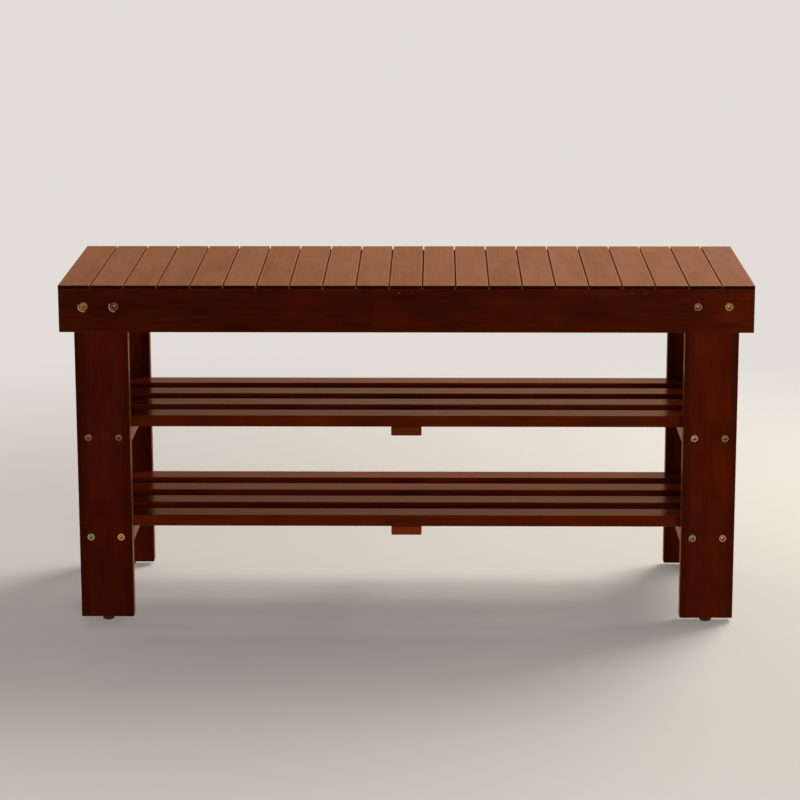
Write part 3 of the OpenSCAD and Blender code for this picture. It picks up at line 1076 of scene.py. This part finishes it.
def shelf_screw_places(level, holder):
    """The places of the screws through a rail or a cleat, one under each of the shelf's slats."""
    x = middle(holder).x
    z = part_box(holder)[0].z
    return [Vector((x, middle(f"{level}_shelf_slat_{i}").y, z)) for i in range(1, SHELF_SLATS + 1)]


def countersink(place):
    """A cutter for the countersunk hole of a screw from below."""
    head_d = SCREW_HEAD_D + SCREW_PLAY
    shank_d = SCREW_D + SCREW_PLAY
    cutter = add_cone_z(head_d, shank_d, place.x, place.y, place.z, place.z + SCREW_HEAD_H)
    push_face(cutter, faces_down, (0, 0, -OVER))
    return cutter


def barrel_places(rail):
    """The middles of the four barrel nuts in a side rail."""
    low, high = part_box(rail)
    centre = (low + high) / 2
    return [Vector((x, y, centre.z)) for x in bolt_pair(centre.x)
            for y in (low.y + BARREL_FROM_END, high.y - BARREL_FROM_END)]


def make_rail(node, level, material, bare):
    """A side rail with the bores for its barrel nuts and, under a shelf, its screws."""
    low_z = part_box(node)[0].z
    cutters = [add_rod_z(BARREL_D + BARREL_PLAY, place.x, place.y, low_z - OVER,
                         place.z + BARREL_L / 2) for place in barrel_places(node)]
    if level != "seat":
        cutters += [countersink(place) for place in shelf_screw_places(level, node)]
    make_board(node, material, BOARD_EASE, cutters, bare)


def make_shelf(level, long_wood, cross_wood, bare):
    """A shelf: slats along the bench, two side rails and a middle cleat, screwed from below."""
    for i in range(1, SHELF_SLATS + 1):
        make_board(f"{level}_shelf_slat_{i}", long_wood, SLAT_EASE)
    for side in SIDES:
        make_rail(f"{level}_rail_{side}", level, cross_wood, bare)
    cleat = level + "_cleat"
    cutters = [countersink(place) for place in shelf_screw_places(level, cleat)]
    make_board(cleat, cross_wood, SLAT_EASE, cutters, bare)


# Fasteners and glides

def finish_parts(parts, name, material, node=None):
    """Joins like parts into one piece, paints it and lets it ride, in place of a node if given."""
    piece = named(join_all(parts), name)
    piece.data.materials.clear()
    piece.data.materials.append(material)
    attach(piece, "root")
    if node:
        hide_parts(node)


def bolt_pattern(head_d, shank):
    """A socket bolt along +Y, its head's face at the origin."""
    bolt = add_rod_y(head_d, 0, 0, HEAD_H, 0)
    ease_face(bolt, faces_front, HEAD_EASE)
    select_faces(bolt, faces_rear)
    bpy.ops.mesh.inset(thickness=(head_d - BOLT_D) / 2)
    extrude((0, shank, 0))
    leave_edit()
    push_face(bolt, lambda face: faces_rear(face) and face.center.y > 2 * HEAD_H,
              (0, BOLT_TIP_L, 0), (BOLT_TIP, 1, BOLT_TIP))
    socket_d = SOCKET_AF / math.cos(math.radians(30))
    socket = add_rod_y(socket_d, 0, -OVER, SOCKET_DEPTH, 0, sides=6)
    push_face(socket, faces_rear, (0, SOCKET_CONE_L, 0), (SOCKET_CONE_TIP, 1, SOCKET_CONE_TIP))
    mouth = add_rod_y(SOCKET_AF, 0, 0, SOCKET_FLARE, 0)
    wider = (socket_d + SOCKET_FLARE) / SOCKET_AF
    select_faces(mouth, faces_front)
    bpy.ops.transform.resize(value=(wider, 1, wider), center_override=(0, 0, 0))
    leave_edit()
    push_face(mouth, faces_front, (0, -OVER, 0))
    cut(bolt, [mouth])
    cut(bolt, [socket])
    clear_slivers(bolt)
    smooth(bolt)
    return bolt


def age_bolt(bolt, tint, dull, grime_and_shade, glint, drift):
    """Marks a bolt's tint and wear, the grime and painted shade in its socket and the painted glint
    at the socket's bottom, and moves the drill point at its socket's bottom along X.
    """
    mark(bolt, "plating", [tint] * len(bolt.data.vertices))
    tarnish_and_shade = []
    painted_glint = []
    for vertex in bolt.data.vertices:
        radius = math.hypot(vertex.co.x, vertex.co.z)
        deep = SOCKET_FLARE / 2 < vertex.co.y < HEAD_H
        in_socket = deep and radius < SOCKET_AF / 2 + SOCKET_FLARE
        at_bottom = in_socket and radius < SOCKET_BOTTOM_R
        # A socket's walls and, more so, its bottom are darkened with grime and painted shade
        if at_bottom:
            vertex.co.x += drift
            tarnish_and_shade.append(min(1.0, grime_and_shade + BOTTOM_GRIME_AND_SHADE))
        else:
            tarnish_and_shade.append(grime_and_shade if in_socket else dull)
        painted_glint.append(glint if at_bottom else 0.0)
    mark(bolt, "tarnish_and_shade", tarnish_and_shade)
    mark(bolt, "painted_glint", painted_glint)


def make_bolts(node, rail_node, face_node, head_d, sink, wear_shade_glints, material):
    """The eight bolts of one level, each with its own turn, tint, wear, painted shade in its socket
    and painted glint.
    """
    face_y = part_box(face_node)[0].y + sink
    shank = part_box(rail_node)[0].y + BOLT_REACH - (face_y + HEAD_H) - BOLT_TIP_L
    pattern = bolt_pattern(head_d, shank)
    z = middle(rail_node).z
    parts = []
    for side in SIDES:
        for x in bolt_pair(middle("leg_front_" + side).x):
            for rear in (False, True):
                count = len(parts)
                bolt = copy_moved(pattern)
                turn(bolt, Y, BOLT_TURN * count)
                look = ((TINT_STEP * count) % 1.0, *REAR_WEAR_SHADE_GLINT) if rear else wear_shade_glints[count // 2]
                age_bolt(bolt, *look, -POINT_DRIFT if side == "right" else 0.0)
                move(bolt, (-x if rear else x, face_y, z))
                if rear:
                    turn(bolt, Z, math.pi)
                parts.append(bolt)
    bpy.data.objects.remove(pattern)
    finish_parts(parts, node + "_plated", material, node)


def make_barrel_nuts(level, material):
    """The eight barrel nuts of one level: slotted below and bored across for the bolts."""
    nut = add_rod_z(BARREL_D, 0, 0, -BARREL_L / 2, BARREL_L / 2)
    ease_edges(nut, BARREL_EASE, steps=2)
    slot_low = Vector((-BARREL_D, -BARREL_SLOT_W / 2, -BARREL_L / 2 - OVER))
    slot_high = Vector((BARREL_D, BARREL_SLOT_W / 2, -BARREL_L / 2 + BARREL_SLOT_DEPTH))
    cut(nut, [add_block(slot_low, slot_high)])
    cut(nut, [add_rod_y(BOLT_D + SCREW_PLAY, 0, -BARREL_D, BARREL_D, 0)])
    smooth(nut)
    parts = []
    for side in SIDES:
        parts += [copy_moved(nut, place) for place in barrel_places(f"{level}_rail_{side}")]
    bpy.data.objects.remove(nut)
    node = level + "_barrel_nuts"
    finish_parts(parts, node + "_plated", material, node)


def screw_pattern(length):
    """A countersunk screw that points up, the underside of its head at the origin."""
    screw = add_cone_z(SCREW_HEAD_D, SCREW_D, 0, 0, 0, SCREW_HEAD_H)
    push_face(screw, faces_up, (0, 0, length - SCREW_HEAD_H - SCREW_POINT))
    push_face(screw, faces_up, (0, 0, SCREW_POINT), (SCREW_TIP, SCREW_TIP, 1))
    long, wide = CROSS_L / 2, CROSS_W / 2
    for x, y in ((long, wide), (wide, long)):
        cut(screw, [add_block(Vector((-x, -y, -OVER)), Vector((x, y, CROSS_DEPTH)))])
    smooth(screw)
    return screw


def make_screws(level, material):
    """The twelve screws under one shelf."""
    parts = []
    for holder in (f"{level}_rail_left", f"{level}_rail_right", f"{level}_cleat"):
        low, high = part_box(holder)
        pattern = screw_pattern(high.z - low.z + SCREW_BITE)
        for place in shelf_screw_places(level, holder):
            screw = copy_moved(pattern)
            turn(screw, Z, SCREW_TURN * len(parts))
            move(screw, place)
            parts.append(screw)
        bpy.data.objects.remove(pattern)
    node = level + "_shelf_screws"
    finish_parts(parts, node + "_plated", material, node)


def make_putty(side, material):
    """The filler over the brads of the front or the rear apron, a little below its face."""
    low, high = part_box("front_apron")
    parts = []
    for key, x, z in brad_places():
        plug = add_rod_y(PUTTY_D, x, low.y + PUTTY_SINK, low.y + BRAD_HOLE_DEPTH, z,
                         SMALL_ROUND_SIDES)
        ease_face(plug, faces_front, PUTTY_SINK, steps=2)
        mark(plug, "pale", [PALE_PUTTY.get(key, 0.0)] * len(plug.data.vertices))
        parts.append(plug)
    plugs = join_all(parts)
    smooth(plugs)
    if side == "rear":
        turn(plugs, Z, math.pi)
    finish_parts([plugs], side + "_brad_filler", material)


def make_glides(material):
    """The four glides, chamfered below, each with a sunk hole for its nail."""
    for end in ("front", "rear"):
        for side in SIDES:
            node = f"glide_{end}_{side}"
            low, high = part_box(node)
            x, y = (low.x + high.x) / 2, (low.y + high.y) / 2
            glide = add_rod_z(high.x - low.x, x, y, low.z, high.z)
            ease_face(glide, faces_down, GLIDE_CHAMFER, steps=1)
            ease_edges(glide, GLIDE_EASE, steps=3)
            hole_z = low.z + GLIDE_NAIL_HOLE_DEPTH
            cut(glide, [add_rod_z(GLIDE_NAIL_HOLE_D, x, y, low.z - OVER, hole_z)])
            smooth(glide)
            finish_parts([glide], node + "_moulded", material, node)


# The bench

bpy.context.scene.view_settings.view_transform = "Standard"
place_camera()
lay_floor()
light_world()
hang_lamps()

seat_wood = wood("seat_wood_lacquered", Y, SEAT_LIT_DARK, SEAT_LIT_LIGHT, SEAT_END, SEAT_EDGE,
                 roughness=0.34, glow=0.4, side=SEAT_SIDE_SHADE, run=3.5)
apron_wood = wood("apron_wood_lacquered", X, APRON_DARK, APRON_LIGHT, FRAME_END, FRAME_EDGE,
                  roughness=0.34, glow=0.3, bands=0.15, lit_tip=1.65)
leg_wood = wood("leg_wood_lacquered", Z, LEG_DARK, LEG_LIGHT, FRAME_END, LEG_EDGE,
                roughness=0.34, glow=0.3, bands=0.1, rim=0.55)
rail_wood = wood("rail_wood_lacquered", Y, LEG_DARK, LEG_LIGHT, FRAME_END, FRAME_EDGE,
                 roughness=0.34, glow=0.3)
shelf_wood = wood("shelf_wood_lacquered", X, SHELF_DARK, SHELF_LIGHT, FRAME_END, FRAME_EDGE,
                  roughness=0.14, glow=0.0)
cross_wood = wood("cross_wood_lacquered", Y, SHELF_DARK, SHELF_LIGHT, CLEAT_END, FRAME_EDGE,
                  roughness=0.3, glow=0.3)
bored_wood = bare_wood()
zinc = yellow_zinc()
steel = speckled_metal("bright_steel", BRIGHT_STEEL, 0.34)
putty = filler_putty()
plastic = glide_plastic()

make_seat(seat_wood)
make_aprons(apron_wood, bored_wood)
make_legs(leg_wood)
for side in SIDES:
    make_rail("seat_rail_" + side, "seat", rail_wood, bored_wood)
for level in LEVELS:
    make_shelf(level, shelf_wood, cross_wood, bored_wood)

make_bolts("seat_bolts", "seat_rail_left", "front_apron", APRON_HEAD_D, APRON_HEAD_SINK,
           SEAT_WEAR_SHADE_GLINTS, zinc)
for level, wear_shade_glints in zip(LEVELS, (UPPER_WEAR_SHADE_GLINTS, LOWER_WEAR_SHADE_GLINTS)):
    make_bolts(level + "_shelf_bolts", level + "_rail_left", "leg_front_left", LEG_HEAD_D,
               LEG_HEAD_SINK, wear_shade_glints, zinc)
    make_screws(level, steel)
for level in ("seat",) + LEVELS:
    make_barrel_nuts(level, steel)
for end in ("front", "rear"):
    make_putty(end, putty)
make_glides(plastic)
for node in ("front_brads", "rear_brads", "glide_nails"):
    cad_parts[node].data.materials.clear()
    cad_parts[node].data.materials.append(steel)
